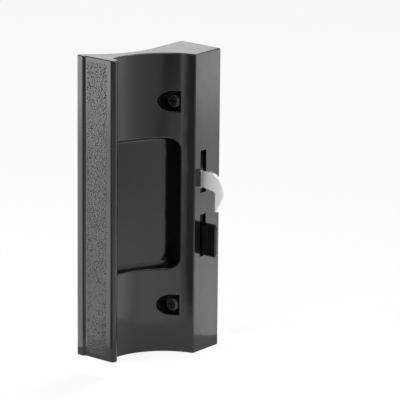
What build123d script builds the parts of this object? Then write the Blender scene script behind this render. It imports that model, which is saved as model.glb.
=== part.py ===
"""Inside handle of a sliding patio door, with a hook latch that a thumb lever raises.

The casting is a grip on a hollow body. Its back is open and lies on the door. A latch
unit of stamped plates is screwed into the body, and works through two slots in the
edge that meets the jamb. The slots are alike, so one casting serves both hands.

Origin: middle of the two mounting screws, on the door face. Millimetres.
+X points to the latch edge, +Y into the door and +Z up, and the room is on -Y.
"""

import os
from math import atan, atan2, cos, degrees, sin, sqrt

from build123d import *

os.makedirs("parts", exist_ok=True)

# Casting
handle_height = 184.0
screw_spacing = 125.4
latch_face_x = 13.4
body_width = 29.7
latch_face_depth = 22.9
casting_wall = 2.6
end_bevel = 0.5
corner_radius = 0.9

# Grip: a rounded nose over the hollow front, and a raised rim along the other edge
grip_reach = 68.5
grip_width = 28.2
nose_overhang = 5.7
nose_radius = 2.6
neck_set_in = 0.1
lip_fillet = 2.6
finger_curve_start = 26.0
rim_radius = 2.0
rim_land = 2.6
rim_height = 1.3
rim_foot_fillet = 0.6

# Thumb recess in the hollow front
recess_height = 80.0
recess_floor_y = -23.5
recess_floor_width = 10.6
recess_right_depth = 3.24
recess_web = 2.5
recess_front_set_in = 4.7
recess_corner = 7.0
recess_foot_fillet = 3.0
recess_floor_wall = 3.1
recess_rim_fillet = 1.4

# Mounting screws and their pockets
screw_diameter = 4.17
screw_length = 31.75
screw_clearance = 0.4
screw_head_diameter = 8.1
screw_head_height = 2.8
screw_head_edge = 1.0
screw_point = 0.6
thread_length = 10.8
thread_height = 0.3
post_socket_diameter = 7.0
post_socket_depth = 4.0
screw_seat_depth = 4.19
screw_boss_wall = 2.6
cross_length = 4.8
cross_width = 1.1
cross_depth = 1.7
pocket_radius = 6.2
pocket_arc_x = 0.0
pocket_flat_x = 4.4
pocket_wall = 2.2
pocket_rim_fillet = 0.5
rib_thickness = 2.0
rib_setback = 3.0

# Slots in the latch edge
slot_width = 5.4
slot_height = 26.0
slot_mid_y = -14.9
slot_gap = 13.4

# Latch unit: its plates, and the spaces between them
hook_thickness = 3.0
plate_thickness = 1.2
slide_thickness = 1.5
layer_gap = 0.4
washer_thickness = 1.0
fit_gap = 0.05
wall_gap = 0.6
plate_left_gap = 0.8
plate_top_z = 35.0
plate_bottom_z = -39.0
plate_corner = 3.0
ear_screw_z = 46.0
ear_radius = 4.5
window_width = 9.0
window_height = 11.0
window_x = 3.5
window_z = 23.0

# Places across the latch unit, as shares of the width inside the casting
ear_share = 0.3143
pivot_share = 0.4939
drive_share = 0.3107
guide_share = 0.4612
foot_share = 0.2816

# Hook
pivot_z = 11.2
pivot_diameter = 5.0
pivot_tenon_diameter = 3.4
hook_hub_radius = 6.0
hook_ear_wall = 2.1
hook_back_z = 19.6
hook_crown_radius = 12.3
hook_crown_x = 17.5
hook_crown_rise = 0.7
hook_flank_drop = 2.7
hook_throat = 10.1
hook_throat_z = 8.8
hook_throat_rise = 1.6
hook_throat_fillet = 1.8
hook_tip_z = -3.3
hook_tip_width = 1.2
hook_tip_fillet = 0.5
hook_outer_fillet = 0.9
hook_inner_fillet = 0.3
washer_diameter = 9.0
sleeve_diameter = 8.0

# Lever, slide and drive
lever_travel = 4.8
lever_height = 20.0
lever_thickness = 3.4
lever_reach = 11.2
lever_guide_gap = 2.0
lever_end_gap = 0.9
lever_corner = 2.0
lever_bevel = 0.9
dimple_diameter = 5.2
dimple_rise = 2.2
dimple_depth = 0.4
dimple_from_face = 3.6
slide_sleeve_gap = 0.8
slide_foot_top_z = -7.0
slide_margin = 3.5
slide_foot_drop = 1.0
slide_corner = 1.5
drive_pin_diameter = 3.0
drive_tenon_diameter = 2.2
drive_slot_gap = 0.3
lever_rivet_set_in = 3.8
lever_rivet_diameter = 2.6
lever_rivet_pitch = 10.0
lever_rivet_rim = 0.8
lever_rivet_head = 0.8
guide_upper_z = -12.0
guide_lower_z = -24.0
guide_diameter = 4.0
guide_tenon_diameter = 3.0
guide_gap = 0.1

# Rivet heads, latch unit screws and spring
rivet_head_height = 1.0
rivet_head_rim = 1.3
ear_screw_diameter = 3.5
ear_screw_length = 8.0
ear_screw_head_diameter = 6.6
ear_screw_head_height = 2.2
ear_boss_radius = 4.0
spring_wire = 0.9
spring_hole_gap = 0.3
spring_sleeve_gap = 0.75
spring_anchor_gap = 0.9
spring_leg = 9.2
spring_tail = 3.0
tail_ear_wall = 1.6


def far_side_y(centre_x, centre_y, radius, x):
    """Y of the door side of a circle at the given X."""
    return centre_y + sqrt(radius**2 - (x - centre_x) ** 2)


# Places on the casting that follow from the sizes above
top_z = handle_height / 2
left_x = latch_face_x - body_width
wall_inside_x = latch_face_x - casting_wall
screw_z = screw_spacing / 2
neck_x = left_x + neck_set_in
grip_right_x = neck_x + nose_overhang
nose_x = grip_right_x - nose_radius
nose_y = -(grip_reach - nose_radius)
lip_back_y = nose_y + nose_radius
hollow_y = lip_back_y + lip_fillet
recess_front_y = hollow_y + recess_front_set_in
hollow_run = latch_face_x - neck_x
hollow_drop = -latch_face_depth - hollow_y
hollow_radius = (hollow_run**2 + hollow_drop**2) / (2 * hollow_run)
hollow_x = neck_x + hollow_radius
recess_right_y = recess_floor_y - recess_right_depth
recess_right_x = hollow_x - sqrt(hollow_radius**2 - (recess_right_y - hollow_y) ** 2)
screw_seat_y = far_side_y(hollow_x, hollow_y, hollow_radius, 0) + screw_seat_depth
rim_x = grip_right_x - grip_width + rim_radius
rim_y = -(grip_reach + rim_height - rim_radius)
rim_slope = sqrt(rim_radius**2 - (rim_radius - rim_height) ** 2)
finger_run = left_x - rim_x
finger_drop = -finger_curve_start - rim_y
finger_radius = (finger_run**2 + finger_drop**2 - rim_radius**2) / (2 * (finger_run + rim_radius))
finger_x = left_x - finger_radius
rim_share = rim_radius / (finger_radius + rim_radius)
rim_back = (rim_x + rim_share * (finger_x - rim_x), rim_y + rim_share * finger_drop)

# Places in the latch unit, from the room towards the door
hook_front_y = slot_mid_y - hook_thickness / 2
hook_rear_y = slot_mid_y + hook_thickness / 2
slide_front_y = hook_rear_y + layer_gap
slide_rear_y = slide_front_y + slide_thickness
cover_front_y = slide_rear_y + layer_gap
cover_rear_y = cover_front_y + plate_thickness
frame_rear_y = hook_front_y - washer_thickness - 2 * fit_gap
frame_front_y = frame_rear_y - plate_thickness
chamber_left_x = left_x + casting_wall
chamber_width = wall_inside_x - chamber_left_x
plate_left_x = chamber_left_x + plate_left_gap
plate_right_x = wall_inside_x - wall_gap
plate_height = plate_top_z - plate_bottom_z
ear_x = chamber_left_x + ear_share * chamber_width
slot_bottom_z = slot_gap / 2
slot_middle_z = slot_bottom_z + slot_height / 2
pivot_x = chamber_left_x + pivot_share * chamber_width
drive_radius = drive_share * chamber_width
half_swing = atan(lever_travel / (2 * drive_radius))
drive_outer_radius = drive_radius / cos(half_swing)
drive_x = pivot_x + drive_radius
drive_z = pivot_z - lever_travel / 2
guide_x = chamber_left_x + guide_share * chamber_width
slide_foot_x = chamber_left_x + foot_share * chamber_width
slide_arm_x = pivot_x + sleeve_diameter / 2 + slide_sleeve_gap
lever_inner_x = guide_x + guide_diameter / 2 + lever_guide_gap
lever_rivet_x = lever_inner_x + lever_rivet_set_in
lever_bottom_z = -slot_bottom_z - slot_height + lever_end_gap
lever_middle_z = lever_bottom_z + lever_height / 2
lever_end_x = latch_face_x + lever_reach
lever_front_y = slide_front_y - lever_thickness
spring_anchor_x = plate_left_x + plate_thickness + spring_anchor_gap
spring_arm = (sleeve_diameter + spring_wire) / 2 + spring_sleeve_gap
tail_x = pivot_x - spring_arm * cos(half_swing)
tail_z = pivot_z + spring_arm * sin(half_swing)
spring_y = (hook_rear_y + cover_front_y) / 2


def front_plane(y):
    """Plane at depth y that faces the room, with its own x along X and its y along Z."""
    return Plane.XZ.offset(-y)


def short_arc(centre, radius, start, end):
    """Arc from start to end about centre, the short way round."""
    x = (start[0] + end[0]) / 2 - centre[0]
    y = (start[1] + end[1]) / 2 - centre[1]
    length = sqrt(x * x + y * y)
    middle = (centre[0] + x * radius / length, centre[1] + y * radius / length)
    return ThreePointArc(start, middle, end)


# Outer form of the casting: one section over the whole height
latch_corner = (latch_face_x, -latch_face_depth)
neck = (neck_x, hollow_y)
finger_start = (left_x, -finger_curve_start)
lip_end = (neck_x + lip_fillet, lip_back_y)
land_end = (rim_x + rim_land, rim_y - rim_radius)
rim_foot = (rim_x + rim_land + rim_slope, -grip_reach)
with BuildPart() as outer_form:
    with BuildSketch(Plane.XY.offset(-top_z)):
        with BuildLine():
            Polyline(latch_corner, (latch_face_x, 0), (left_x, 0), finger_start)
            short_arc((finger_x, -finger_curve_start), finger_radius, finger_start, rim_back)
            short_arc((rim_x, rim_y), rim_radius, rim_back, (rim_x, rim_y - rim_radius))
            Line((rim_x, rim_y - rim_radius), land_end)
            short_arc((rim_x + rim_land, rim_y), rim_radius, land_end, rim_foot)
            Line(rim_foot, (nose_x, -grip_reach))
            ThreePointArc((nose_x, -grip_reach), (grip_right_x, nose_y), (nose_x, lip_back_y))
            Line((nose_x, lip_back_y), lip_end)
            short_arc((neck_x + lip_fillet, hollow_y), lip_fillet, lip_end, neck)
            short_arc((hollow_x, hollow_y), hollow_radius, neck, latch_corner)
        handle_face = make_face()
        fillet(handle_face.vertices().sort_by_distance(latch_corner)[0], corner_radius)
        fillet(handle_face.vertices().sort_by_distance(rim_foot)[0], rim_foot_fillet)
    extrude(amount=handle_height)
    chamfer(outer_form.faces().filter_by(Axis.Z).edges(), length=end_bevel)

# Hollow back: a shallow chamber behind the recess, and deep pockets above and below it
chamber_middle_x = (chamber_left_x + wall_inside_x) / 2
chamber_y = recess_floor_y + recess_floor_wall
chamber_top_z = top_z - casting_wall
deep_start_z = recess_height / 2 + casting_wall
deep_radius = hollow_radius + casting_wall
deep_left = (chamber_left_x, far_side_y(hollow_x, hollow_y, deep_radius, chamber_left_x))
deep_right = (wall_inside_x, far_side_y(hollow_x, hollow_y, deep_radius, wall_inside_x))
screw_hole_radius = screw_diameter / 2 + screw_clearance
seat_back_y = screw_seat_y + casting_wall


def pocket_outline(grow):
    """Screw pocket seen from the room: round towards the grip, square towards the latch."""
    flat_width = pocket_flat_x - pocket_arc_x + grow
    Circle(pocket_radius + grow)
    with Locations((flat_width / 2, 0)):
        Rectangle(flat_width, 2 * (pocket_radius + grow))
    with Locations((pocket_flat_x - pocket_arc_x + grow + pocket_radius, 0)):
        Rectangle(2 * pocket_radius, 4 * pocket_radius, mode=Mode.SUBTRACT)


with BuildPart() as back_core:
    with BuildSketch(Plane.XY.offset(-chamber_top_z)):
        with Locations((chamber_middle_x, chamber_y / 2)):
            Rectangle(chamber_width, -chamber_y)
    extrude(amount=2 * chamber_top_z)
    with BuildSketch(Plane.XY.offset(deep_start_z)):
        with BuildLine():
            Polyline(deep_right, (wall_inside_x, chamber_y / 2), (chamber_left_x, chamber_y / 2), deep_left)
            short_arc((hollow_x, hollow_y), deep_radius, deep_left, deep_right)
        make_face()
    extrude(amount=chamber_top_z - deep_start_z)
    mirror(about=Plane.XY)
    for side in (-1, 1):
        with BuildSketch(front_plane(seat_back_y)):
            with Locations((pocket_arc_x, side * screw_z)):
                pocket_outline(pocket_wall)
        extrude(amount=seat_back_y - hollow_y, mode=Mode.SUBTRACT)
        with BuildSketch(front_plane(seat_back_y)):
            with Locations((0, side * screw_z)):
                Circle(screw_hole_radius + screw_boss_wall)
        extrude(amount=seat_back_y, mode=Mode.SUBTRACT)
        with BuildSketch(front_plane(seat_back_y)):
            with Locations((chamber_middle_x, side * screw_z)):
                Rectangle(chamber_width, rib_thickness)
        extrude(amount=seat_back_y + rib_setback, mode=Mode.SUBTRACT)
        with BuildSketch(front_plane(frame_front_y)):
            with Locations((ear_x, side * ear_screw_z)):
                Circle(ear_boss_radius)
        extrude(amount=frame_front_y - hollow_y, mode=Mode.SUBTRACT)

# Thumb recess: its left wall slants back from the finger curve to the floor, for the ball of the
# thumb, and its front wall hides behind the lip
recess_floor_left_x = recess_right_x - recess_floor_width
recess_end_x = finger_x + sqrt((finger_radius + recess_web) ** 2 - (recess_front_y + finger_curve_start) ** 2)
recess_end = (recess_end_x, recess_front_y)
lip_angle = atan2(hollow_y - recess_front_y, neck_x - recess_end_x)
recess_mouth = (neck_x + lip_fillet * cos(lip_angle), hollow_y + lip_fillet * sin(lip_angle))
with BuildPart() as recess_core:
    with BuildSketch(Plane.XY.offset(-recess_height / 2)):
        with BuildLine():
            Polyline(
                recess_end,
                recess_mouth,
                (recess_right_x, hollow_y),
                (recess_right_x, recess_floor_y),
                (recess_floor_left_x, recess_floor_y),
                close=True,
            )
        make_face()
    extrude(amount=recess_height)
    fillet(recess_core.edges().filter_by(Axis.Y).group_by(Axis.X)[-1], radius=recess_corner)
    wall_middle_x = (recess_end_x + recess_floor_left_x) / 2
    wall_ends = recess_core.edges().filter_by_position(Axis.X, wall_middle_x - fit_gap, wall_middle_x + fit_gap)
    fillet(wall_ends, radius=recess_foot_fillet)



def hollow_rim(body, low, high, left_x):
    """Edges where the hollow front breaks into a pocket, between two heights and right of left_x."""
    fronts = body.faces().filter_by(lambda face: face.radius and abs(face.radius - hollow_radius) < fit_gap)
    inside = fronts[0].edges().filter_by_position(Axis.Z, low - fit_gap, high + fit_gap)
    return inside.filter_by_position(Axis.X, left_x, pocket_flat_x + fit_gap)


with BuildPart() as handle_body:
    add(outer_form.part)
    add(back_core.part, mode=Mode.SUBTRACT)
    add(recess_core.part, mode=Mode.SUBTRACT)
    for side in (-1, 1):
        with BuildSketch(front_plane(screw_seat_y)):
            with Locations((pocket_arc_x, side * screw_z)):
                pocket_outline(0)
        extrude(amount=screw_seat_y - hollow_y, mode=Mode.SUBTRACT)
        with BuildSketch(Plane.XZ):
            with Locations((0, side * screw_z)):
                Circle(screw_hole_radius)
        extrude(amount=-screw_seat_y, mode=Mode.SUBTRACT)
        with BuildSketch(Plane.XZ):
            with Locations((0, side * screw_z)):
                Circle(post_socket_diameter / 2)
        extrude(amount=post_socket_depth, mode=Mode.SUBTRACT)
        with BuildSketch(front_plane(frame_front_y)):
            with Locations((ear_x, side * ear_screw_z)):
                Circle(ear_screw_diameter / 2 + fit_gap)
        extrude(amount=ear_screw_length, mode=Mode.SUBTRACT)
        with BuildSketch(Plane.YZ.offset(plate_right_x)):
            with Locations((slot_mid_y, side * slot_middle_z)):
                Rectangle(slot_width, slot_height)
        extrude(amount=latch_face_x, mode=Mode.SUBTRACT)
    fillet(hollow_rim(handle_body, -recess_height / 2, recess_height / 2, neck_x), recess_rim_fillet)
    for side in (-1, 1):
        pocket_low = side * screw_z - pocket_radius
        pocket_rim = hollow_rim(handle_body, pocket_low, pocket_low + 2 * pocket_radius, neck_x + fit_gap)
        fillet(pocket_rim, pocket_rim_fillet)
handle_body.part.label = "handle_body"
export_step(handle_body.part, "parts/handle_body.step")


def turned_piece(steps, x, z, hole=0.0):
    """Round piece along Y at (x, z), from (front y, rear y, diameter) steps, with a hole."""
    with BuildPart() as turned:
        for front_y, rear_y, diameter in steps:
            with BuildSketch(front_plane(rear_y)):
                with Locations((x, z)):
                    Circle(diameter / 2)
                    if hole:
                        Circle(hole / 2, mode=Mode.SUBTRACT)
            extrude(amount=rear_y - front_y)
    return turned.part


def plate_rivet(x, z, diameter, tenon_diameter):
    """Rivet that holds the two plates apart: a thick middle, two tenons and two heads."""
    head_diameter = tenon_diameter + 2 * rivet_head_rim
    steps = [
        (frame_front_y - rivet_head_height, frame_front_y, head_diameter),
        (frame_front_y, frame_rear_y, tenon_diameter),
        (frame_rear_y, cover_front_y, diameter),
        (cover_front_y, cover_rear_y, tenon_diameter),
        (cover_rear_y, cover_rear_y + rivet_head_height, head_diameter),
    ]
    return turned_piece(steps, x, z)


def plate_holes():
    """Holes for the three rivets that join the frame and the cover."""
    with Locations((pivot_x, pivot_z)):
        Circle(pivot_tenon_diameter / 2 + fit_gap)
    with Locations((guide_x, guide_upper_z), (guide_x, guide_lower_z)):
        Circle(guide_tenon_diameter / 2 + fit_gap)


# Latch frame: a plate folded up along one side, with a screw ear at each end
with BuildPart() as latch_frame:
    with BuildSketch(Plane.XY.offset(plate_bottom_z)):
        with BuildLine():
            Polyline(
                (plate_left_x, frame_front_y),
                (plate_right_x, frame_front_y),
                (plate_right_x, frame_rear_y),
                (plate_left_x + plate_thickness, frame_rear_y),
                (plate_left_x + plate_thickness, cover_rear_y),
                (plate_left_x, cover_rear_y),
                close=True,
            )
        make_face()
    extrude(amount=plate_height)
    fillet(
        latch_frame.edges().filter_by(Axis.Z).sort_by_distance((plate_left_x, frame_front_y, 0))[0],
        radius=plate_thickness,
    )
    fillet(latch_frame.edges().filter_by(Axis.Y).group_by(Axis.X)[-1], radius=plate_corner)
    with BuildSketch(front_plane(frame_rear_y)):
        for ear_z, plate_z in ((ear_screw_z, plate_top_z), (-ear_screw_z, plate_bottom_z)):
            with Locations((ear_x, ear_z)):
                Circle(ear_radius)
            with Locations((ear_x, (ear_z + plate_z) / 2)):
                Rectangle(2 * ear_radius, abs(ear_z - plate_z))
    extrude(amount=plate_thickness)
    with BuildSketch(front_plane(frame_rear_y)):
        plate_holes()
        with Locations((ear_x, ear_screw_z), (ear_x, -ear_screw_z)):
            Circle(ear_screw_diameter / 2 + guide_gap)
    extrude(amount=plate_thickness, mode=Mode.SUBTRACT)
latch_frame.part.label = "latch_frame"
export_step(latch_frame.part, "parts/latch_frame.step")

# Cover plate on the door side, with a window over the hook
cover_left_x = plate_left_x + plate_thickness + guide_gap
with BuildPart() as frame_cover:
    with BuildSketch(front_plane(cover_rear_y)):
        with Locations(((cover_left_x + plate_right_x) / 2, (plate_top_z + plate_bottom_z) / 2)):
            RectangleRounded(plate_right_x - cover_left_x, plate_height - plate_corner, plate_corner)
    extrude(amount=plate_thickness)
    with BuildSketch(front_plane(cover_rear_y)):
        plate_holes()
        with Locations((spring_anchor_x, pivot_z)):
            Circle((spring_wire + spring_hole_gap) / 2)
        with Locations((window_x, window_z)):
            RectangleRounded(window_width, window_height, plate_thickness)
    extrude(amount=plate_thickness, mode=Mode.SUBTRACT)
frame_cover.part.label = "frame_cover"
export_step(frame_cover.part, "parts/frame_cover.step")

# Rivets between the plates: the hook turns on the first, the slide runs on the others
hook_pivot_rivet = plate_rivet(pivot_x, pivot_z, pivot_diameter, pivot_tenon_diameter)
hook_pivot_rivet.label = "hook_pivot_rivet"
export_step(hook_pivot_rivet, "parts/hook_pivot_rivet.step")
for guide_name, guide_z in (("upper", guide_upper_z), ("lower", guide_lower_z)):
    guide_rivet = plate_rivet(guide_x, guide_z, guide_diameter, guide_tenon_diameter)
    guide_rivet.label = f"guide_rivet_{guide_name}"
    export_step(guide_rivet, f"parts/guide_rivet_{guide_name}.step")

# Washer and sleeve that keep the hook in the middle of its slot
bore = pivot_diameter + 2 * fit_gap
hook_washer = turned_piece(
    [(frame_rear_y + fit_gap, hook_front_y - fit_gap, washer_diameter)], pivot_x, pivot_z, bore
)
hook_washer.label = "hook_washer"
export_step(hook_washer, "parts/hook_washer.step")
hook_sleeve = turned_piece(
    [(hook_rear_y + fit_gap, cover_front_y - fit_gap, sleeve_diameter)], pivot_x, pivot_z, bore
)
hook_sleeve.label = "hook_sleeve"
export_step(hook_sleeve, "parts/hook_sleeve.step")

# Latch hook: hub, drive ear, spring ear, and a shank that ends in a round-backed hook.
# The back is cut straight above the crown's circle, and a straight flank runs from it to the tip.
throat_x = latch_face_x + hook_throat
crown_z = hook_back_z - hook_crown_radius + hook_crown_rise
crown_right_x = hook_crown_x + hook_crown_radius
back_end_x = hook_crown_x + sqrt(hook_crown_radius**2 - (hook_back_z - crown_z) ** 2)
flank_x = hook_crown_x + sqrt(hook_crown_radius**2 - hook_flank_drop**2)
flank_z = crown_z - hook_flank_drop
drive_slot_width = drive_pin_diameter + 2 * drive_slot_gap
drive_ear_radius = drive_slot_width / 2 + hook_ear_wall
drive_middle = (drive_radius + drive_outer_radius) / 2
spring_hole_radius = (spring_wire + spring_hole_gap) / 2
with BuildPart() as latch_hook:
    with BuildSketch(front_plane(hook_rear_y)):
        with BuildLine():
            Polyline(
                (back_end_x, hook_back_z),
                (wall_inside_x, hook_back_z),
                (pivot_x, pivot_z + hook_hub_radius),
                (pivot_x, pivot_z - hook_hub_radius),
                (drive_x, drive_z - drive_ear_radius),
                (latch_face_x, hook_throat_z + hook_throat_rise),
                (throat_x, hook_throat_z),
                (throat_x, hook_tip_z),
                (throat_x + hook_tip_width, hook_tip_z),
                (flank_x, flank_z),
            )
            ThreePointArc((flank_x, flank_z), (crown_right_x, crown_z), (back_end_x, hook_back_z))
        hook_face = make_face()
        fillet(hook_face.vertices().sort_by_distance((throat_x, hook_throat_z))[0], hook_throat_fillet)
        fillet(
            hook_face.vertices().filter_by_position(Axis.Y, hook_tip_z - fit_gap, hook_tip_z + fit_gap),
            hook_tip_fillet,
        )
        with Locations((pivot_x, pivot_z)):
            Circle(hook_hub_radius)
        with Locations((drive_x, drive_z)):
            Circle(drive_ear_radius)
        with Locations((tail_x, tail_z)):
            Circle(spring_hole_radius + tail_ear_wall)
    extrude(amount=hook_thickness)
    hook_sides = latch_hook.faces().filter_by(Axis.Y).edges()
    fillet(
        hook_sides.filter_by_position(Axis.Z, hook_back_z - fit_gap, hook_back_z + fit_gap)
        + hook_sides.filter_by_position(Axis.X, throat_x + hook_tip_width, crown_right_x),
        hook_outer_fillet,
    )
    hook_sides = latch_hook.faces().filter_by(Axis.Y).edges().filter_by_position(Axis.X, latch_face_x, throat_x)
    fillet(hook_sides.filter_by_position(Axis.Z, hook_tip_z, hook_throat_z + hook_throat_rise), hook_inner_fillet)
    with BuildSketch(front_plane(hook_rear_y)):
        with Locations((pivot_x, pivot_z)):
            Circle(bore / 2)
        with Locations((tail_x, tail_z)):
            Circle(spring_hole_radius)
        with Locations((pivot_x + drive_middle * cos(half_swing), pivot_z - drive_middle * sin(half_swing))):
            SlotCenterToCenter(
                drive_outer_radius - drive_radius + fit_gap, drive_slot_width, rotation=-degrees(half_swing)
            )
    extrude(amount=hook_thickness, mode=Mode.SUBTRACT)
latch_hook.part.label = "latch_hook"
export_step(latch_hook.part, "parts/latch_hook.step")

# Slide: a foot that carries the lever on two guide slots, and an arm for the drive pin
foot_bottom_z = lever_bottom_z - slide_foot_drop
arm_top_z = drive_z + slide_margin
lever_rivets = [
    (lever_rivet_x, lever_middle_z + lever_rivet_pitch / 2),
    (lever_rivet_x, lever_middle_z - lever_rivet_pitch / 2),
]
with BuildPart() as slide_plate:
    with BuildSketch(front_plane(slide_rear_y)):
        with BuildLine():
            Polyline(
                (plate_right_x, foot_bottom_z),
                (plate_right_x, arm_top_z),
                (slide_arm_x, arm_top_z),
                (slide_arm_x, slide_foot_top_z),
                (slide_foot_x, slide_foot_top_z),
                (slide_foot_x, foot_bottom_z),
                close=True,
            )
        slide_face = make_face()
        fillet(slide_face.vertices(), slide_corner)
        for guide_z in (guide_upper_z, guide_lower_z):
            with Locations((guide_x, guide_z - lever_travel / 2)):
                SlotCenterToCenter(
                    lever_travel + 2 * guide_gap,
                    guide_diameter + 2 * guide_gap,
                    rotation=90,
                    mode=Mode.SUBTRACT,
                )
        with Locations((drive_x, drive_z)):
            Circle(drive_tenon_diameter / 2 + fit_gap, mode=Mode.SUBTRACT)
        with Locations(*lever_rivets):
            Circle(lever_rivet_diameter / 2 + fit_gap, mode=Mode.SUBTRACT)
    extrude(amount=slide_thickness)
slide_plate.part.label = "slide_plate"
export_step(slide_plate.part, "parts/slide_plate.step")

# Drive pin: its shoulder stands on the slide and runs in the slot of the hook
drive_pin = turned_piece(
    [
        (hook_front_y + fit_gap, slide_front_y, drive_pin_diameter),
        (slide_front_y, slide_rear_y, drive_tenon_diameter),
    ],
    drive_x,
    drive_z,
)
drive_pin.label = "drive_pin"
export_step(drive_pin, "parts/drive_pin.step")

# Thumb lever
with BuildPart() as thumb_lever:
    with BuildSketch(front_plane(slide_front_y)):
        with Locations(((lever_inner_x + lever_end_x) / 2, lever_middle_z)):
            Rectangle(lever_end_x - lever_inner_x, lever_height)
    extrude(amount=lever_thickness)
    fillet(thumb_lever.edges().filter_by(Axis.Y).group_by(Axis.X)[-1], radius=lever_corner)
    chamfer(thumb_lever.faces().filter_by(Axis.X).sort_by(Axis.X)[-1].edges().filter_by(Axis.Z), lever_bevel)
    with BuildSketch(front_plane(slide_front_y)):
        with Locations(*lever_rivets):
            Circle(lever_rivet_diameter / 2 + fit_gap)
    extrude(amount=lever_thickness, mode=Mode.SUBTRACT)
    with BuildSketch(front_plane(lever_front_y + dimple_depth)):
        with Locations((latch_face_x + dimple_from_face, lever_middle_z + dimple_rise)):
            Circle(dimple_diameter / 2)
    extrude(amount=dimple_depth, mode=Mode.SUBTRACT)
thumb_lever.part.label = "thumb_lever"
export_step(thumb_lever.part, "parts/thumb_lever.step")

for (rivet_x, rivet_z), rivet_name in zip(lever_rivets, ("upper", "lower")):
    lever_rivet = turned_piece(
        [
            (lever_front_y - lever_rivet_head, lever_front_y, lever_rivet_diameter + 2 * lever_rivet_rim),
            (lever_front_y, slide_rear_y, lever_rivet_diameter),
        ],
        rivet_x,
        rivet_z,
    )
    lever_rivet.label = f"lever_rivet_{rivet_name}"
    export_step(lever_rivet, f"parts/lever_rivet_{rivet_name}.step")

# Over-centre spring: a wire hairpin from the cover to the spring ear of the hook
with BuildPart() as toggle_spring:
    with BuildLine() as spring_path:
        anchor = (spring_anchor_x, spring_y, pivot_z)
        anchor_foot = (spring_anchor_x, spring_y, pivot_z - spring_leg)
        tail_foot = (tail_x, spring_y, pivot_z - spring_leg)
        bend = (tail_x - spring_anchor_x) / 2
        Line((spring_anchor_x, cover_rear_y, pivot_z), anchor)
        Line(anchor, anchor_foot)
        ThreePointArc(anchor_foot, (spring_anchor_x + bend, spring_y, pivot_z - spring_leg - bend), tail_foot)
        Line(tail_foot, (tail_x, spring_y, tail_z))
        Line((tail_x, spring_y, tail_z), (tail_x, spring_y - spring_tail, tail_z))
    with BuildSketch(front_plane(cover_rear_y)):
        with Locations((spring_anchor_x, pivot_z)):
            Circle(spring_wire / 2)
    sweep(path=spring_path.line, transition=Transition.ROUND)
toggle_spring.part.label = "toggle_spring"
export_step(toggle_spring.part, "parts/toggle_spring.step")


def pan_screw(seat, diameter, length, head_diameter, head_height, plain_length=0.0):
    """Screw with a pan head on the seat plane, a cross recess and a plain length under the head."""
    with BuildPart() as screw:
        with BuildSketch(seat):
            Circle(head_diameter / 2)
        extrude(amount=head_height)
        fillet(screw.edges().sort_by(Axis(seat.origin, seat.z_dir))[-1], radius=screw_head_edge)
        with BuildSketch(seat.offset(head_height)):
            Rectangle(cross_length, cross_width)
            Rectangle(cross_width, cross_length)
        extrude(amount=-cross_depth, mode=Mode.SUBTRACT)
        if plain_length:
            with BuildSketch(seat):
                Circle(diameter / 2 - thread_height)
            extrude(amount=-plain_length)
        with BuildSketch(seat.offset(-plain_length)):
            Circle(diameter / 2)
        extrude(amount=plain_length - length)
        chamfer(screw.edges().sort_by(Axis(seat.origin, seat.z_dir))[0], length=screw_point)
    return screw.part


# Mounting screws run through the body towards the outside pull, frame screws into the casting
for screw_name, side in (("upper", 1), ("lower", -1)):
    pocket_floor = Plane(origin=(0, screw_seat_y, side * screw_z), x_dir=(1, 0, 0), z_dir=(0, -1, 0))
    mounting_screw = pan_screw(
        pocket_floor,
        screw_diameter,
        screw_length,
        screw_head_diameter,
        screw_head_height,
        screw_length - thread_length,
    )
    mounting_screw.label = f"mounting_screw_{screw_name}"
    export_step(mounting_screw, f"parts/mounting_screw_{screw_name}.step")
    ear_face = Plane(origin=(ear_x, frame_rear_y, side * ear_screw_z), x_dir=(1, 0, 0), z_dir=(0, 1, 0))
    frame_screw = pan_screw(
        ear_face, ear_screw_diameter, ear_screw_length, ear_screw_head_diameter, ear_screw_head_height
    )
    frame_screw.label = f"frame_screw_{screw_name}"
    export_step(frame_screw, f"parts/frame_screw_{screw_name}.step")
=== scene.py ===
"""Looks, light and camera for the inside handle of a sliding patio door.

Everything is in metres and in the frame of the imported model: +X points to the latch edge,
+Y into the door and +Z up the handle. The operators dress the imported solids, model the
pieces whose surface needs more than the solid has, and set the stage.
"""

import math

import bpy
from mathutils import Matrix, Vector


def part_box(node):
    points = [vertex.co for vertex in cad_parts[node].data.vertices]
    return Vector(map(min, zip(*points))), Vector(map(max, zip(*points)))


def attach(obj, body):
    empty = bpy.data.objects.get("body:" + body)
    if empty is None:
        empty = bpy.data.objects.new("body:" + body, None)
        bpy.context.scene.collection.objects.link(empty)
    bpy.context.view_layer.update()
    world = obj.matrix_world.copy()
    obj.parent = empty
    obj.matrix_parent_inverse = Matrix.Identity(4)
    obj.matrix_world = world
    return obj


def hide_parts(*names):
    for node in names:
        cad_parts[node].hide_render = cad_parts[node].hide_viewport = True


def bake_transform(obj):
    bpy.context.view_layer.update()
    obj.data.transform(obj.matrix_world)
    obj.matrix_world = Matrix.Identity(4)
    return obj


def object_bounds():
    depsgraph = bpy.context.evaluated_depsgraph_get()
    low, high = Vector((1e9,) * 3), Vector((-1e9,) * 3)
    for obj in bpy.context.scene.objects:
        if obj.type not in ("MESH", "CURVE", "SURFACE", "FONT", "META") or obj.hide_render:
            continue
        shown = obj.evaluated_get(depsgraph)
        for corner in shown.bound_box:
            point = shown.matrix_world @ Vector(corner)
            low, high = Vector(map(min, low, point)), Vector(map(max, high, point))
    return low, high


bl_info = {
    "name": "Sliding door handle",
    "version": (1, 0, 0),
    "blender": (4, 5, 0),
    "location": "3D View > Sidebar > Handle",
    "description": "Dresses the inside handle of a sliding patio door and lights it",
    "category": "Object",
}

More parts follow.
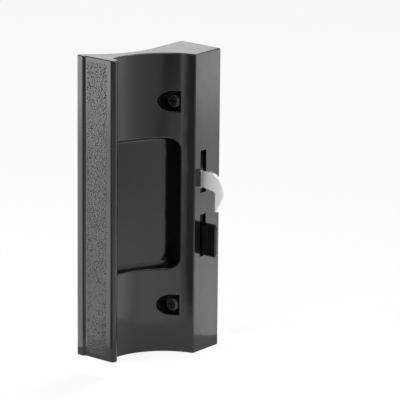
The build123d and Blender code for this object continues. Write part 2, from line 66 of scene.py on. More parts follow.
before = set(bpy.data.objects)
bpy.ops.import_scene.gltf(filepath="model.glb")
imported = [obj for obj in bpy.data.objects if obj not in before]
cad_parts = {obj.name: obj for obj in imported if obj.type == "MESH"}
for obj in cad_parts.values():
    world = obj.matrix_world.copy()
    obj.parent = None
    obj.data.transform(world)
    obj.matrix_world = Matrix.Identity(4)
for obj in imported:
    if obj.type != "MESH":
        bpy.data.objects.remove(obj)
cad_low, cad_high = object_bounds()

MM = 0.001
MICRON = 0.000001

# Grip face of the casting, where the leather grain is cast in
rim_height = 1.3 * MM
grain_inset = 7.3 * MM
grain_width = 15.4 * MM
grain_end_gap = 2.6 * MM
body_low, body_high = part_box("handle_body")
grip_face_y = body_low.y + rim_height
grain_left_x = body_low.x + grain_inset
grain_right_x = grain_left_x + grain_width
grain_end_z = body_high.z - grain_end_gap

PLATED_NODES = (
    "frame_cover",
    "hook_pivot_rivet",
    "guide_rivet_upper",
    "guide_rivet_lower",
    "hook_washer",
    "hook_sleeve",
    "slide_plate",
    "drive_pin",
    "lever_rivet_upper",
    "lever_rivet_lower",
    "frame_screw_upper",
    "frame_screw_lower",
)


class CastingSettings(bpy.types.PropertyGroup):
    """Enamel and leather grain of the casting."""

    enamel_colour: bpy.props.FloatVectorProperty(
        name="Enamel colour", description="Colour of the black enamel",
        subtype="COLOR", size=3, min=0, max=1, default=(0.004, 0.004, 0.0043),
    )
    enamel_roughness: bpy.props.FloatProperty(
        name="Enamel roughness", description="Middle of the enamel's roughness",
        default=0.13, min=0, max=1,
    )
    grain_cell: bpy.props.FloatProperty(
        name="Grain cell", description="Width of one pebble of the leather grain",
        default=1.05 * MM, min=0.2 * MM, max=4 * MM, unit="LENGTH",
    )
    grain_depth: bpy.props.FloatProperty(
        name="Grain depth", description="Height of the pebbles over the creases",
        default=0.22 * MM, min=0, max=0.8 * MM, unit="LENGTH",
    )
    grain_cuts: bpy.props.IntProperty(
        name="Grain cuts", description="Cuts across each square of the grained face",
        default=88, min=8, max=96,
    )


class HardwareSettings(bpy.types.PropertyGroup):
    """Finishes of the hook, the lever, the plates and the screws."""

    zinc_colour: bpy.props.FloatVectorProperty(
        name="Zinc colour", description="Colour of the hook's bright zinc plate",
        subtype="COLOR", size=3, min=0, max=1, default=(0.66, 0.66, 0.655),
    )
    plate_colour: bpy.props.FloatVectorProperty(
        name="Plate colour", description="Dull zinc of the slide, the cover and the rivets",
        subtype="COLOR", size=3, min=0, max=1, default=(0.5, 0.5, 0.51),
    )
    # Painted shade: the latch frame is plated steel, and its near-black colour stands in for the shade
    # inside the slots of the casting.
    frame_shade_colour: bpy.props.FloatVectorProperty(
        name="Frame painted shade colour", description="Near-black latch frame, painted shade in the slots",
        subtype="COLOR", size=3, min=0, max=1, default=(0.02, 0.02, 0.022),
    )
    lever_colour: bpy.props.FloatVectorProperty(
        name="Lever colour", description="Colour of the moulded thumb lever",
        subtype="COLOR", size=3, min=0, max=1, default=(0.003, 0.003, 0.0033),
    )
    screw_colour: bpy.props.FloatVectorProperty(
        name="Screw colour", description="Colour of the blackened mounting screws",
        subtype="COLOR", size=3, min=0, max=1, default=(0.02, 0.02, 0.022),
    )
    spring_colour: bpy.props.FloatVectorProperty(
        name="Spring colour", description="Colour of the drawn spring wire",
        subtype="COLOR", size=3, min=0, max=1, default=(0.36, 0.36, 0.37),
    )


class StageSettings(bpy.types.PropertyGroup):
    """Camera, floor and lights."""

    camera_azimuth: bpy.props.FloatProperty(
        name="Camera azimuth", description="Angle from the front towards the latch edge",
        default=math.radians(39.22), subtype="ANGLE",
    )
    camera_elevation: bpy.props.FloatProperty(
        name="Camera elevation", description="Angle above the horizon",
        default=math.radians(15.665), subtype="ANGLE",
    )
    camera_roll: bpy.props.FloatProperty(
        name="Camera roll", description="Turn about the line of sight",
        default=math.radians(-0.551), subtype="ANGLE",
    )
    camera_distance: bpy.props.FloatProperty(
        name="Camera distance", description="From the camera to the middle of the handle",
        default=1.9236, min=0.3, unit="LENGTH",
    )
    camera_lens: bpy.props.FloatProperty(
        name="Camera lens", description="Focal length in millimetres on a 36 mm sensor",
        default=291.26, min=20,
    )
    camera_aside: bpy.props.FloatProperty(
        name="Camera aside", description="How far the camera is moved to its right",
        default=29.951 * MM, unit="LENGTH",
    )
    camera_lift: bpy.props.FloatProperty(
        name="Camera lift", description="How far the camera is moved up in its own frame",
        default=1.508 * MM, unit="LENGTH",
    )
    floor_colour: bpy.props.FloatVectorProperty(
        name="Floor colour", description="Colour of the plain floor",
        subtype="COLOR", size=3, min=0, max=1, default=(0.86, 0.86, 0.86),
    )
    tent_radius: bpy.props.FloatProperty(
        name="Tent radius", description="Radius of the light tent round the handle",
        default=0.13, min=0.1, unit="LENGTH",
    )
    top_light_power: bpy.props.FloatProperty(
        name="Top light", description="Power of the softbox above the handle, in watts",
        default=2.4, min=0,
    )
    front_light_power: bpy.props.FloatProperty(
        name="Front light", description="Power of the softbox in front of the handle, in watts",
        default=6.0, min=0,
    )


# Selection and meshes

def select_only(piece):
    """Deselects everything, then selects and activates the piece."""
    bpy.ops.object.select_all(action="DESELECT")
    piece.select_set(True)
    bpy.context.view_layer.objects.active = piece


def select_faces(piece, wanted):
    """Selects, in face mode, the faces for which wanted(face) holds. The piece is in object mode."""
    select_only(piece)
    bpy.ops.object.mode_set(mode="EDIT")
    bpy.ops.mesh.select_mode(type="FACE")
    bpy.ops.mesh.select_all(action="DESELECT")
    bpy.ops.object.mode_set(mode="OBJECT")
    for face in piece.data.polygons:
        face.select = wanted(face)
    bpy.ops.object.mode_set(mode="EDIT")


def merged_copy(node, name):
    """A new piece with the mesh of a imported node, its loose triangles merged into one shell."""
    piece = bpy.data.objects.new(name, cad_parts[node].data.copy())
    bpy.context.scene.collection.objects.link(piece)
    piece.data.materials.clear()
    select_only(piece)
    bpy.ops.mesh.customdata_custom_splitnormals_clear()
    bpy.ops.object.mode_set(mode="EDIT")
    bpy.ops.mesh.select_all(action="SELECT")
    bpy.ops.mesh.remove_doubles(threshold=MICRON)
    bpy.ops.object.mode_set(mode="OBJECT")
    return piece


def smooth_by_angle(piece, degrees_limit):
    """Smooth shading that keeps edges over the limit sharp and large faces flat."""
    select_only(piece)
    bpy.ops.object.shade_smooth_by_angle(angle=math.radians(degrees_limit))
    keep_flat = piece.modifiers.new("Keep flat", "WEIGHTED_NORMAL")
    keep_flat.keep_sharp = True
    keep_flat.weight = 90
    bpy.ops.object.modifier_apply(modifier=keep_flat.name)


def dress(node, material):
    """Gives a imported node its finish."""
    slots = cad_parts[node].material_slots
    if not slots:
        raise RuntimeError(f"{node} has no material slot")
    for slot in slots:
        slot.material = material


# Node groups: effects that several finishes share

def add_socket(group, name, direction, kind, value=None):
    """A named input or output of a node group."""
    made = group.interface.new_socket(name=name, in_out=direction, socket_type=kind)
    if value is not None:
        made.default_value = value


def new_group(name, inputs, outputs):
    """An empty shader node group: (name, kind, default) for each socket."""
    group = bpy.data.node_groups.new(name, "ShaderNodeTree")
    for socket_name, kind, value in inputs:
        add_socket(group, socket_name, "INPUT", kind, value)
    for socket_name, kind in outputs:
        add_socket(group, socket_name, "OUTPUT", kind)
    return group, group.nodes.new("NodeGroupInput"), group.nodes.new("NodeGroupOutput")


def node(tree, kind, **values):
    """A node with properties set by name, and inputs set by their name with spaces as _."""
    made = tree.nodes.new(kind)
    for key, value in values.items():
        if hasattr(made, key):
            setattr(made, key, value)
        else:
            made.inputs[key.replace("_", " ")].default_value = value
    return made


def math_node(tree, operation, first, second=None, third=None):
    """A Math node whose inputs are numbers or sockets."""
    made = node(tree, "ShaderNodeMath", operation=operation)
    for index, value in enumerate((first, second, third)):
        if value is None:
            continue
        if isinstance(value, (int, float)):
            made.inputs[index].default_value = value
        else:
            tree.links.new(value, made.inputs[index])
    return made.outputs[0]


def ramp(tree, value, from_low, from_high, to_low=0.0, to_high=1.0):
    """A smooth Map Range from one pair of limits to another."""
    made = node(
        tree, "ShaderNodeMapRange", interpolation_type="SMOOTHSTEP",
        From_Min=from_low, From_Max=from_high, To_Min=to_low, To_Max=to_high,
    )
    tree.links.new(value, made.inputs["Value"])
    return made.outputs["Result"]


def build_leather_grain():
    """Pebbled leather: rounded cells between creases, with a finer grain on top."""
    wander_distance = 0.5 * MM
    crease_reach = 0.32
    fine_cells = 3.1
    fine_share = 0.45
    group, given, made = new_group(
        "Leather grain",
        [("Vector", "NodeSocketVector", None), ("Cells per metre", "NodeSocketFloat", 1000.0)],
        [("Height", "NodeSocketFloat")],
    )
    wander = node(group, "ShaderNodeTexNoise", Detail=2.0, Roughness=0.5)
    group.links.new(given.outputs["Vector"], wander.inputs["Vector"])
    group.links.new(given.outputs["Cells per metre"], wander.inputs["Scale"])
    push = node(group, "ShaderNodeVectorMath", operation="MULTIPLY_ADD")
    push.inputs[1].default_value = (wander_distance, wander_distance, wander_distance)
    group.links.new(wander.outputs["Color"], push.inputs[0])
    group.links.new(given.outputs["Vector"], push.inputs[2])
    cells = node(group, "ShaderNodeTexVoronoi", feature="DISTANCE_TO_EDGE")
    group.links.new(push.outputs[0], cells.inputs["Vector"])
    group.links.new(given.outputs["Cells per metre"], cells.inputs["Scale"])
    pebble = ramp(group, cells.outputs["Distance"], 0.0, crease_reach)
    fine_scale = math_node(group, "MULTIPLY", given.outputs["Cells per metre"], fine_cells)
    fine = node(group, "ShaderNodeTexNoise", Detail=3.0, Roughness=0.6)
    group.links.new(given.outputs["Vector"], fine.inputs["Vector"])
    group.links.new(fine_scale, fine.inputs["Scale"])
    both = math_node(group, "MULTIPLY_ADD", fine.outputs["Fac"], fine_share, pebble)
    group.links.new(both, made.inputs["Height"])
    return group


def build_enamel_skin():
    """Sprayed enamel: orange peel on slow waves, and handled or dusty patches that are less glossy."""
    wave_share = 13.0
    dust_share = 0.35
    middle = 0.5 + 0.5 * dust_share
    group, given, made = new_group(
        "Enamel skin",
        [
            ("Vector", "NodeSocketVector", None),
            ("Roughness", "NodeSocketFloat", 0.2),
            ("Spread", "NodeSocketFloat", 0.06),
        ],
        [("Height", "NodeSocketFloat"), ("Roughness", "NodeSocketFloat")],
    )
    peel = node(group, "ShaderNodeTexNoise", Scale=420.0, Detail=2.0, Roughness=0.45)
    group.links.new(given.outputs["Vector"], peel.inputs["Vector"])
    waves = node(group, "ShaderNodeTexNoise", Scale=70.0, Detail=1.0, Roughness=0.5)
    group.links.new(given.outputs["Vector"], waves.inputs["Vector"])
    surface = math_node(group, "MULTIPLY_ADD", waves.outputs["Fac"], wave_share, peel.outputs["Fac"])
    group.links.new(surface, made.inputs["Height"])
    patches = node(group, "ShaderNodeTexNoise", Scale=38.0, Detail=4.0, Roughness=0.55)
    group.links.new(given.outputs["Vector"], patches.inputs["Vector"])
    dust = node(group, "ShaderNodeTexNoise", Scale=2600.0, Detail=1.0)
    group.links.new(given.outputs["Vector"], dust.inputs["Vector"])
    mixed = math_node(group, "MULTIPLY_ADD", dust.outputs["Fac"], dust_share, patches.outputs["Fac"])
    centred = math_node(group, "SUBTRACT", mixed, middle)
    spread = math_node(group, "MULTIPLY", centred, given.outputs["Spread"])
    rough = math_node(group, "ADD", spread, given.outputs["Roughness"])
    group.links.new(rough, made.inputs["Roughness"])
    return group


def build_tumbled_metal():
    """Tumbled and plated steel: soft dents, fine scratches and a slight change of tone."""
    scratch_share = 0.5
    middle = 0.5 + 0.5 * scratch_share
    roughness_change = 0.2
    group, given, made = new_group(
        "Tumbled metal",
        [
            ("Vector", "NodeSocketVector", None),
            ("Colour", "NodeSocketColor", (0.6, 0.6, 0.6, 1.0)),
            ("Roughness", "NodeSocketFloat", 0.35),
            ("Tone change", "NodeSocketFloat", 0.12),
        ],
        [
            ("Colour", "NodeSocketColor"),
            ("Height", "NodeSocketFloat"),
            ("Roughness", "NodeSocketFloat"),
        ],
    )
    dents = node(group, "ShaderNodeTexNoise", Scale=1300.0, Detail=4.0, Roughness=0.6)
    group.links.new(given.outputs["Vector"], dents.inputs["Vector"])
    stretch = node(
        group, "ShaderNodeMapping", Scale=(0.35, 1.0, 3.0), Rotation=(0.0, math.radians(28), 0.0),
    )
    group.links.new(given.outputs["Vector"], stretch.inputs["Vector"])
    scratches = node(group, "ShaderNodeTexNoise", Scale=2200.0, Detail=4.0, Roughness=0.7)
    group.links.new(stretch.outputs["Vector"], scratches.inputs["Vector"])
    height = math_node(
        group, "MULTIPLY_ADD", scratches.outputs["Fac"], scratch_share, dents.outputs["Fac"],
    )
    group.links.new(height, made.inputs["Height"])
    centred = math_node(group, "SUBTRACT", height, middle)
    rough = math_node(group, "MULTIPLY_ADD", centred, roughness_change, given.outputs["Roughness"])
    group.links.new(rough, made.inputs["Roughness"])
    clouds = node(group, "ShaderNodeTexNoise", Scale=130.0, Detail=3.0, Roughness=0.5)
    group.links.new(given.outputs["Vector"], clouds.inputs["Vector"])
    clouds_centred = math_node(group, "SUBTRACT", clouds.outputs["Fac"], 0.5)
    tone = math_node(group, "MULTIPLY_ADD", clouds_centred, given.outputs["Tone change"], 1.0)
    shade = node(group, "ShaderNodeVectorMath", operation="SCALE")
    group.links.new(given.outputs["Colour"], shade.inputs[0])
    group.links.new(tone, shade.inputs["Scale"])
    group.links.new(shade.outputs[0], made.inputs["Colour"])
    return group


def place_group(tree, group, **values):
    """Puts a node group in a material and feeds it Object coordinates."""
    placed = node(tree, "ShaderNodeGroup", node_tree=group)
    for key, value in values.items():
        placed.inputs[key.replace("_", " ")].default_value = value
    coordinates = node(tree, "ShaderNodeTexCoord")
    tree.links.new(coordinates.outputs["Object"], placed.inputs["Vector"])
    return placed


def new_material(name):
    """A node material with only its shader and output: (material, tree, shader)."""
    material = bpy.data.materials.new(name)
    material.use_nodes = True
    tree = material.node_tree
    return material, tree, tree.nodes["Principled BSDF"]


def bump(tree, height, distance, after=None):
    """A Bump node of the given real height, over another one if given."""
    made = node(tree, "ShaderNodeBump", Distance=distance, Strength=1.0)
    tree.links.new(height, made.inputs["Height"])
    if after is not None:
        tree.links.new(after, made.inputs["Normal"])
    return made.outputs["Normal"]


def finish_enamel(casting):
    """Black gloss enamel, with the fine leather grain on the grip band only."""
    peel_height = 0.015 * MM
    fine_grain_height = 0.03 * MM
    fine_grain_roughness = 0.02
    fine_cells_per_pebble = 2.3
    edge = 0.5 * MM
    material, tree, shader = new_material("Black enamel")
    shader.inputs["Base Color"].default_value = (*casting.enamel_colour, 1.0)
    skin = place_group(
        tree, bpy.data.node_groups["Enamel skin"], Roughness=casting.enamel_roughness, Spread=0.1,
    )
    coordinates = node(tree, "ShaderNodeTexCoord")
    axes = node(tree, "ShaderNodeSeparateXYZ")
    tree.links.new(coordinates.outputs["Object"], axes.inputs[0])
    from_left = ramp(tree, axes.outputs["X"], grain_left_x, grain_left_x + edge)
    from_right = ramp(tree, axes.outputs["X"], grain_right_x, grain_right_x - edge)
    height_z = math_node(tree, "ABSOLUTE", axes.outputs["Z"])
    from_end = ramp(tree, height_z, grain_end_z, grain_end_z - edge)
    on_face = ramp(tree, axes.outputs["Y"], grip_face_y + edge, grip_face_y + 0.5 * edge)
    across = math_node(tree, "MULTIPLY", from_left, from_right)
    along = math_node(tree, "MULTIPLY", from_end, on_face)
    band = math_node(tree, "MULTIPLY", across, along)
    grain = place_group(
        tree, bpy.data.node_groups["Leather grain"],
        Cells_per_metre=fine_cells_per_pebble / casting.grain_cell,
    )
    grain_height = math_node(tree, "MULTIPLY", grain.outputs["Height"], band)
    peel = bump(tree, skin.outputs["Height"], peel_height)
    tree.links.new(bump(tree, grain_height, fine_grain_height, peel), shader.inputs["Normal"])
    rough = math_node(tree, "MULTIPLY_ADD", band, fine_grain_roughness, skin.outputs["Roughness"])
    tree.links.new(rough, shader.inputs["Roughness"])
    return material


def finish_metal(name, colour, roughness, tone_change, dent, metallic=1.0):
    """Plated or drawn steel, with dents of the given real depth. Dull plate is less metallic."""
    material, tree, shader = new_material(name)
    shader.inputs["Metallic"].default_value = metallic
    metal = place_group(
        tree, bpy.data.node_groups["Tumbled metal"],
        Colour=(*colour, 1.0), Roughness=roughness, Tone_change=tone_change,
    )
    tree.links.new(metal.outputs["Colour"], shader.inputs["Base Color"])
    tree.links.new(metal.outputs["Roughness"], shader.inputs["Roughness"])
    tree.links.new(bump(tree, metal.outputs["Height"], dent), shader.inputs["Normal"])
    return material


def finish_black(name, colour, roughness, spread, peel_height):
    """Smooth black moulding or plating."""
    material, tree, shader = new_material(name)
    shader.inputs["Base Color"].default_value = (*colour, 1.0)
    skin = place_group(tree, bpy.data.node_groups["Enamel skin"], Roughness=roughness, Spread=spread)
    tree.links.new(skin.outputs["Roughness"], shader.inputs["Roughness"])
    tree.links.new(bump(tree, skin.outputs["Height"], peel_height), shader.inputs["Normal"])
    return material


def seen_white(tree):
    """1 for rays of the camera, of reflections and of glass, and 0 for the rays that carry light."""
    path = node(tree, "ShaderNodeLightPath")
    direct = math_node(tree, "ADD", path.outputs["Is Camera Ray"], path.outputs["Is Glossy Ray"])
    return math_node(tree, "ADD", direct, path.outputs["Is Transmission Ray"])


# Operators

class HANDLE_OT_effects(bpy.types.Operator):
    """Builds the node groups that the finishes share"""

    bl_idname = "handle.effects"
    bl_label = "Build shared effects"

    def execute(self, context):
        build_leather_grain()
        build_enamel_skin()
        build_tumbled_metal()
        return {"FINISHED"}


class HANDLE_OT_casting(bpy.types.Operator):
    """Models the casting with real leather grain on its grip, and enamels it"""

    bl_idname = "handle.casting"
    bl_label = "Casting"

    def execute(self, context):
        settings = context.scene.handle_casting
        casting = merged_copy("handle_body", "casting")
        self.divide_grip_face(casting, settings.grain_cuts)
        self.raise_grain(casting, settings)
        smooth_by_angle(casting, degrees_limit=32)
        casting.data.materials.append(finish_enamel(settings))
        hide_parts("handle_body")
        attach(casting, "handle")
        return {"FINISHED"}

    def divide_grip_face(self, casting, cuts):
        """Divides the flat grip face into a fine even grid, with its neighbours still joined to it."""
        facing_front = -0.9999
        near = 0.05 * MM

        def on_grip(face):
            return face.normal.y < facing_front and abs(face.center.y - grip_face_y) < near

        select_faces(casting, on_grip)
        bpy.ops.mesh.dissolve_faces()
        bpy.ops.object.mode_set(mode="OBJECT")
        grip = [face for face in casting.data.polygons if on_grip(face)]
        if len(grip) != 1:
            raise RuntimeError(f"the grip has {len(grip)} flat faces, and one is expected")
        corners = [casting.data.vertices[i].co for i in grip[0].vertices]
        low_z = min(corner.z for corner in corners)
        high_z = max(corner.z for corner in corners)
        width = max(corner.x for corner in corners) - min(corner.x for corner in corners)
        squares = round((high_z - low_z) / width)
        for index in range(1, squares):
            select_faces(casting, on_grip)
            bpy.ops.mesh.bisect(
                plane_co=(0, 0, low_z + index * (high_z - low_z) / squares), plane_no=(0, 0, 1)
            )
            bpy.ops.object.mode_set(mode="OBJECT")
        select_faces(casting, on_grip)
        bpy.ops.mesh.subdivide(number_cuts=cuts, quadcorner="INNERVERT")
        bpy.ops.object.mode_set(mode="OBJECT")

    def raise_grain(self, casting, settings):
        """Raises the pebbles of the grain on the grip band."""
        band = casting.vertex_groups.new(name="grain")
        edge = 0.6 * MM
        near = 0.01 * MM
        contrast = 4.0
        crease_level = 0.3
        for vertex in casting.data.vertices:
            place = vertex.co
            if abs(place.y - grip_face_y) > near:
                continue
            room = min(place.x - grain_left_x, grain_right_x - place.x, grain_end_z - abs(place.z))
            if room > 0:
                band.add([vertex.index], min(1.0, room / edge), "REPLACE")
        # Second nearest distance less the nearest one: low in the creases, and high on the pebbles
        pebbles = bpy.data.textures.new("Leather pebbles", "VORONOI")
        pebbles.noise_scale = settings.grain_cell
        pebbles.weight_1 = -1.0
        pebbles.weight_2 = 1.0
        pebbles.noise_intensity = contrast
        select_only(casting)
        relief = casting.modifiers.new("Grain", "DISPLACE")
        relief.texture = pebbles
        relief.texture_coords = "LOCAL"
        relief.vertex_group = band.name
        relief.strength = settings.grain_depth
        relief.mid_level = crease_level
        bpy.ops.object.modifier_apply(modifier=relief.name)


class HANDLE_OT_hook(bpy.types.Operator):
    """Bright zinc plate on the latch hook"""

    bl_idname = "handle.hook"
    bl_label = "Latch hook"

    def execute(self, context):
        settings = context.scene.handle_hardware
        dress("latch_hook", finish_metal(
            "Hook zinc", settings.zinc_colour,
            roughness=0.38, tone_change=0.25, dent=0.045 * MM, metallic=0.3,
        ))
        return {"FINISHED"}


class HANDLE_OT_lever(bpy.types.Operator):
    """Black moulding for the thumb lever"""

    bl_idname = "handle.lever"
    bl_label = "Thumb lever"

    def execute(self, context):
        settings = context.scene.handle_hardware
        dress("thumb_lever", finish_black(
            "Black lever", settings.lever_colour, roughness=0.1, spread=0.06, peel_height=0.008 * MM,
        ))
        return {"FINISHED"}


class HANDLE_OT_mounting_screws(bpy.types.Operator):
    """Blackened steel on the two mounting screws"""

    bl_idname = "handle.mounting_screws"
    bl_label = "Mounting screws"

    def execute(self, context):
        settings = context.scene.handle_hardware
        black = finish_black(
            "Black screw", settings.screw_colour, roughness=0.32, spread=0.2, peel_height=0.02 * MM,
        )
        for name in ("mounting_screw_upper", "mounting_screw_lower"):
            dress(name, black)
        return {"FINISHED"}


class HANDLE_OT_latch_unit(bpy.types.Operator):
    """Dull zinc on the plates, rivets and small screws of the latch unit, a near-black latch frame as
    painted shade in the slots, and the spring's wire
    """

    bl_idname = "handle.latch_unit"
    bl_label = "Latch unit"

    def execute(self, context):
        settings = context.scene.handle_hardware
        plated = finish_metal(
            "Plated steel", settings.plate_colour, roughness=0.42, tone_change=0.2, dent=0.025 * MM,
        )
        for name in PLATED_NODES:
            dress(name, plated)
        # Painted shade: the frame gets a near-black colour so that the slots of the casting look
        # shaded behind the hook and lever.
        dress("latch_frame", finish_metal(
            "Frame steel with painted shade", settings.frame_shade_colour, roughness=0.5, tone_change=0.2, dent=0.02 * MM,
        ))
        self.add_spring(finish_metal(
            "Spring steel", settings.spring_colour, roughness=0.3, tone_change=0.1, dent=0.01 * MM,
        ))
        return {"FINISHED"}

    def add_spring(self, material):
        """The wire hairpin: a merged, smooth-shaded copy of the imported spring, with its transform
        baked in.
        """
        spring = merged_copy("toggle_spring", "spring")
        smooth_by_angle(spring, degrees_limit=40)
        spring.data.materials.append(material)
        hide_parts("toggle_spring")
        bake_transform(spring)


class HANDLE_OT_stage(bpy.types.Operator):
    """Floor, light tent, softboxes and camera"""

    bl_idname = "handle.stage"
    bl_label = "Stage"

    # The tent stands close round the handle, and its foot curves in under it like a sweep.
    # tent_foot has the heights of its rings, and their radii as shares of the tent's. Heights and
    # angles are in the tent's own frame, whose origin is put at tent_centre
    tent_centre = Vector((-10 * MM, -34 * MM, 0.0))
    tent_top_z = 260 * MM
    tent_foot = ((-45 * MM, 1.0), (-70 * MM, 0.86), (-84 * MM, 0.66), (-91.5 * MM, 0.45))

    # Brightness of the tent at three heights, by angle from the front towards the latch edge
    # in degrees, and the heights over which one gives way to the next
    upper_light = (
        (-180, 0.8), (-152, 1.6), (-120, 1.6), (-85, 1.6), (-70, 4.0), (-58, 6.2), (-47, 5.6),
        (-37, 4.8), (-32, 4.8), (-27, 3.9), (-21, 0.7), (0, 0.2), (11, 0.3), (18, 1.9), (24, 0.4),
        (44, 0.3), (52, 0.8), (87, 1.0), (105, 1.4), (118, 1.9), (126, 1.5), (134, 2.7), (141, 3.5),
        (150, 2.4), (160, 0.7), (180, 0.8),
    )
    middle_light = (
        (-180, 0.5), (-152, 0.8), (-120, 0.8), (-85, 1.4), (-70, 2.8), (-58, 4.2), (-47, 3.7),
        (-37, 2.9), (-32, 2.9), (-27, 2.5), (-21, 0.9), (0, 0.3), (11, 0.3), (18, 1.8), (24, 0.9),
        (36, 0.8), (50, 0.5), (62, 0.8), (87, 1.0), (105, 1.4), (118, 1.6), (126, 1.2), (134, 1.75),
        (141, 2.0), (150, 1.5), (160, 0.7), (180, 0.5),
    )
    lower_light = (
        (-180, 0.5), (-152, 0.8), (-120, 0.8), (-85, 1.1), (-70, 1.8), (-58, 2.8), (-47, 3.1),
        (-37, 3.0), (-32, 3.0), (-26, 2.7), (-19, 1.1), (0, 0.3), (11, 0.25), (17, 0.9), (24, 1.3),
        (50, 1.4), (69, 1.45), (87, 1.25), (108, 1.9), (118, 1.9), (126, 1.5), (134, 2.5),
        (141, 2.8), (150, 2.0), (160, 0.7), (180, 0.5),
    )
    lower_to_middle_z = (-80 * MM, -10 * MM)
    middle_to_upper_z = (10 * MM, 60 * MM)

    # The light fades upwards, at a height that rises towards the back of the tent
    fade_low_z, fade_high_z = 140 * MM, 200 * MM
    faded_share = 0.15
    fade_slope = 0.6

    softbox_target = Vector((0, -0.03, 0))
    top_softbox_place = Vector((0.05, 0.1, 0.75))
    top_softbox_size = 0.6
    front_softbox_place = Vector((-0.45, -0.85, 0.35))
    front_softbox_size = 0.3

    floor_radius = 3.0
    floor_white_share = 0.88
    room_strength = 0.45
    camera_target = Vector((-12 * MM, -34 * MM, 0))

    def execute(self, context):
        settings = context.scene.handle_stage
        self.add_floor(settings)
        self.add_tent(settings)
        self.add_softbox(
            "top softbox", self.top_softbox_size, settings.top_light_power, self.top_softbox_place
        )
        # The front softbox brightens the pale hook, and the enamel doesn't mirror it
        fill = self.add_softbox(
            "front softbox", self.front_softbox_size, settings.front_light_power,
            self.front_softbox_place,
        )
        fill.visible_glossy = False
        self.set_world()
        self.add_camera(settings)
        context.scene.view_settings.view_transform = "Standard"
        return {"FINISHED"}

    def add_floor(self, settings):
        """A round pale floor under the handle, mostly plain white to the camera and in reflections."""
        bpy.ops.object.select_all(action="DESELECT")
        bpy.ops.mesh.primitive_circle_add(
            vertices=96, radius=self.floor_radius, fill_type="NGON", location=(0, 0, cad_low.z)
        )
        floor = bpy.context.object
        floor.name = "floor"
        bpy.ops.object.transform_apply(location=True)
        material = bpy.data.materials.new("Pale floor")
        material.use_nodes = True
        tree = material.node_tree
        tree.nodes.remove(tree.nodes["Principled BSDF"])
        lit = node(tree, "ShaderNodeBsdfDiffuse", Color=(*settings.floor_colour, 1.0))
        white = node(tree, "ShaderNodeEmission", Color=(1.0, 1.0, 1.0, 1.0), Strength=1.0)
        share = math_node(tree, "MULTIPLY", seen_white(tree), self.floor_white_share)
        mix = node(tree, "ShaderNodeMixShader")
        tree.links.new(share, mix.inputs["Fac"])
        tree.links.new(lit.outputs[0], mix.inputs[1])
        tree.links.new(white.outputs[0], mix.inputs[2])
        tree.links.new(mix.outputs[0], tree.nodes["Material Output"].inputs["Surface"])
        floor.data.materials.append(material)

    def add_tent(self, settings):
        """A round wall of light, dark at the front, seen only in reflections and as soft light."""
        bpy.ops.object.select_all(action="DESELECT")
        foot_z = self.tent_foot[0][0]
        bpy.ops.mesh.primitive_cylinder_add(
            vertices=128, radius=settings.tent_radius, depth=self.tent_top_z - foot_z,
            end_fill_type="NOTHING", location=(0, 0, (self.tent_top_z + foot_z) / 2),
        )
        tent = bpy.context.object
        tent.name = "light_tent"
        bpy.ops.object.transform_apply(location=True)
        for (above_z, above), (ring_z, share) in zip(self.tent_foot, self.tent_foot[1:]):
            select_only(tent)
            bpy.ops.object.mode_set(mode="EDIT")
            bpy.ops.mesh.select_mode(type="VERT")
            bpy.ops.mesh.select_all(action="DESELECT")
            bpy.ops.object.mode_set(mode="OBJECT")
            for vertex in tent.data.vertices:
                vertex.select = vertex.co.z < above_z + MM
            bpy.ops.object.mode_set(mode="EDIT")
            bpy.ops.mesh.extrude_edges_move(TRANSFORM_OT_translate={"value": (0, 0, ring_z - above_z)})
            narrower = share / above
            bpy.ops.transform.resize(value=(narrower, narrower, 1.0), center_override=(0, 0, 0))
            bpy.ops.object.mode_set(mode="OBJECT")
        tent.location = self.tent_centre
        material = bpy.data.materials.new("Light tent")
        material.use_nodes = True
        tree = material.node_tree
        tree.nodes.remove(tree.nodes["Principled BSDF"])
        coordinates = node(tree, "ShaderNodeTexCoord")
        axes = node(tree, "ShaderNodeSeparateXYZ")
        tree.links.new(coordinates.outputs["Object"], axes.inputs[0])
        toward = math_node(tree, "MULTIPLY", axes.outputs["Y"], -1.0)
        turn = math_node(tree, "ARCTAN2", axes.outputs["X"], toward)
        strength = self.light_curve(tree, turn, self.lower_light)
        steps = (
            (self.lower_to_middle_z, self.middle_light),
            (self.middle_to_upper_z, self.upper_light),
        )
        for limits, light in steps:
            blend = node(tree, "ShaderNodeMix")
            tree.links.new(ramp(tree, axes.outputs["Z"], *limits), blend.inputs[0])
            tree.links.new(strength, blend.inputs[2])
            tree.links.new(self.light_curve(tree, turn, light), blend.inputs[3])
            strength = blend.outputs[0]
        rise = math_node(tree, "MULTIPLY_ADD", axes.outputs["Y"], -self.fade_slope, axes.outputs["Z"])
        fade = ramp(tree, rise, self.fade_low_z, self.fade_high_z, 1.0, self.faded_share)
        strength = math_node(tree, "MULTIPLY", strength, fade)
        glow = node(tree, "ShaderNodeEmission")
        tree.links.new(strength, glow.inputs["Strength"])
        tree.links.new(glow.outputs[0], tree.nodes["Material Output"].inputs["Surface"])
        tent.data.materials.append(material)
        tent.visible_camera = False
        tent.visible_shadow = False

    def light_curve(self, tree, turn, stops):
        """Brightness against the turn round the handle, from (degrees, brightness) stops."""
        curve = node(tree, "ShaderNodeFloatCurve")
        points = curve.mapping.curves[0].points
        highest = max(brightness for _, brightness in stops)
        while len(points) < len(stops):
            points.new(0.5, 0.5)
        for point, (angle, brightness) in zip(points, stops):
            point.location = ((angle + 180) / 360, brightness / highest)
            point.handle_type = "VECTOR"
        curve.mapping.update()
        turned = node(tree, "ShaderNodeMapRange")
        turned.inputs["From Min"].default_value = -math.pi
        turned.inputs["From Max"].default_value = math.pi
        tree.links.new(turn, turned.inputs["Value"])
        tree.links.new(turned.outputs["Result"], curve.inputs["Value"])
        return math_node(tree, "MULTIPLY", curve.outputs["Value"], highest)

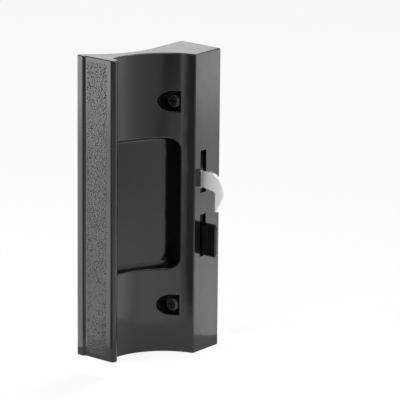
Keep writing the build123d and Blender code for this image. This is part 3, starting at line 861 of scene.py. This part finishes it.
    def add_softbox(self, name, size, power, place):
        """A square softbox aimed at the middle of the handle."""
        light = bpy.data.lights.new(name, "AREA")
        light.shape = "SQUARE"
        light.size = size
        light.energy = power
        lamp = bpy.data.objects.new(name, light)
        lamp.location = place
        lamp.rotation_euler = (self.softbox_target - place).to_track_quat("-Z", "Y").to_euler()
        lamp.visible_camera = False
        bpy.context.scene.collection.objects.link(lamp)
        return lamp

    def set_world(self):
        """White to the camera and in reflections, and a dim room in the light that it gives."""
        world = bpy.data.worlds.new("Studio")
        bpy.context.scene.world = world
        world.use_nodes = True
        tree = world.node_tree
        strength = math_node(
            tree, "MULTIPLY_ADD", seen_white(tree), 1.0 - self.room_strength, self.room_strength
        )
        background = tree.nodes["Background"]
        background.inputs["Color"].default_value = (1.0, 1.0, 1.0, 1.0)
        tree.links.new(strength, background.inputs["Strength"])

    def add_camera(self, settings):
        """A long lens from the photograph's side and height."""
        turn, rise = settings.camera_azimuth, settings.camera_elevation
        level = math.cos(rise)
        back = Vector((math.sin(turn) * level, -math.cos(turn) * level, math.sin(rise)))
        right = Vector((0, 0, 1)).cross(back).normalized()
        up = back.cross(right)
        place = self.camera_target + back * settings.camera_distance
        place += right * settings.camera_aside + up * settings.camera_lift
        roll_cos, roll_sin = math.cos(settings.camera_roll), math.sin(settings.camera_roll)
        rolled_right = right * roll_cos - up * roll_sin
        rolled_up = right * roll_sin + up * roll_cos
        data = bpy.data.cameras.new("camera")
        data.sensor_width = 36.0
        data.lens = settings.camera_lens
        data.clip_start = 0.05
        data.clip_end = 30.0
        camera = bpy.data.objects.new("camera", data)
        bpy.context.scene.collection.objects.link(camera)
        turned = Matrix((rolled_right, rolled_up, back)).transposed().to_4x4()
        camera.matrix_world = Matrix.Translation(place) @ turned
        bpy.context.scene.camera = camera


class HANDLE_PT_panel(bpy.types.Panel):
    """Lists the handle's operators and settings"""

    bl_idname = "HANDLE_PT_panel"
    bl_label = "Sliding door handle"
    bl_space_type = "VIEW_3D"
    bl_region_type = "UI"
    bl_category = "Handle"

    def draw(self, context):
        layout = self.layout
        scene = context.scene
        for operator in STEPS:
            layout.operator(operator.bl_idname)
        for group in (scene.handle_casting, scene.handle_hardware, scene.handle_stage):
            box = layout.box()
            for name in group.bl_rna.properties.keys():
                if name not in ("rna_type", "name"):
                    box.prop(group, name)


SETTINGS = (CastingSettings, HardwareSettings, StageSettings)
STEPS = (
    HANDLE_OT_effects,
    HANDLE_OT_casting,
    HANDLE_OT_hook,
    HANDLE_OT_lever,
    HANDLE_OT_mounting_screws,
    HANDLE_OT_latch_unit,
    HANDLE_OT_stage,
)


def register():
    for item in (*SETTINGS, *STEPS, HANDLE_PT_panel):
        bpy.utils.register_class(item)
    bpy.types.Scene.handle_casting = bpy.props.PointerProperty(type=CastingSettings)
    bpy.types.Scene.handle_hardware = bpy.props.PointerProperty(type=HardwareSettings)
    bpy.types.Scene.handle_stage = bpy.props.PointerProperty(type=StageSettings)


def unregister():
    del bpy.types.Scene.handle_stage
    del bpy.types.Scene.handle_hardware
    del bpy.types.Scene.handle_casting
    for item in reversed((*SETTINGS, *STEPS, HANDLE_PT_panel)):
        bpy.utils.unregister_class(item)


def main():
    """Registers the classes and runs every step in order."""
    register()
    for step in STEPS:
        group, name = step.bl_idname.split(".")
        getattr(getattr(bpy.ops, group), name)()


if __name__ == "__main__":
    main()
